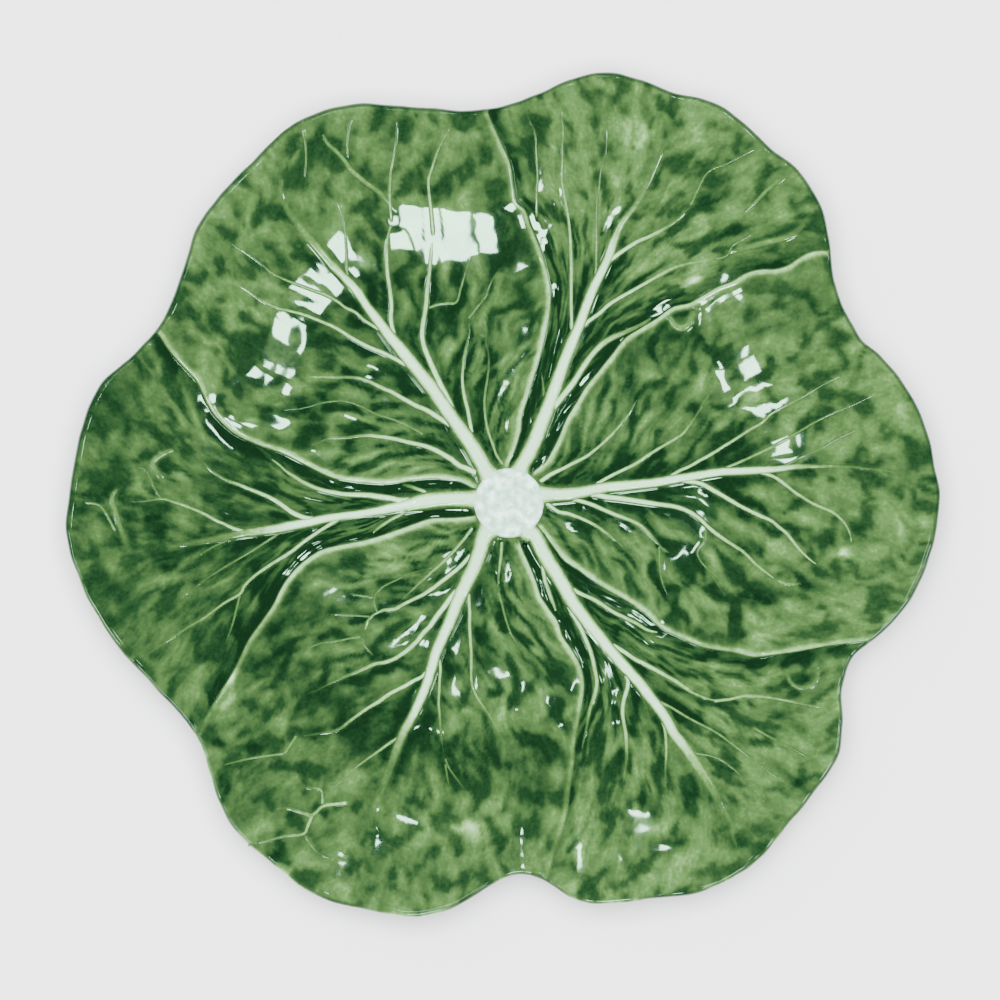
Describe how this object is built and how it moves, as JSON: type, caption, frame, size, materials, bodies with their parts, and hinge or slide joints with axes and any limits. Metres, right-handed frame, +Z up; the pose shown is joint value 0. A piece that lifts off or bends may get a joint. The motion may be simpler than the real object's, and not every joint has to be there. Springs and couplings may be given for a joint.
{
  "type": "leaf plate",
  "caption": "Green glazed earthenware dinner plate moulded as six overlapping cabbage leaves round a cut stalk, with raised white ribs and a foot ring.",
  "frame": {"origin": "on the table plane under the middle of the plate's outline, which is also the centre of the foot ring", "axes": "+Z up, +Y towards the top of the view from above, +X towards the right leaf's tip"},
  "size_m": [0.2657, 0.2567, 0.0298],
  "materials": {
    "leaf_glaze": "glossy translucent green glaze that pools dark in the hollows",
    "rib_glaze": "the same glossy glaze, worn thin and white over the raised ribs",
    "stalk_glaze": "glossy cool white glaze",
    "bare_clay": "matt bare fired clay"
  },
  "bodies": {
    "root": {"plate_body": "leaf_glaze", "foot_ring": "bare_clay", "stalk_disc": "stalk_glaze", "ribs_upper_left": "rib_glaze", "ribs_top": "rib_glaze", "ribs_right": "rib_glaze", "ribs_lower_right": "rib_glaze", "ribs_lower_left": "rib_glaze", "ribs_left": "rib_glaze"}
  },
  "joints": []
}
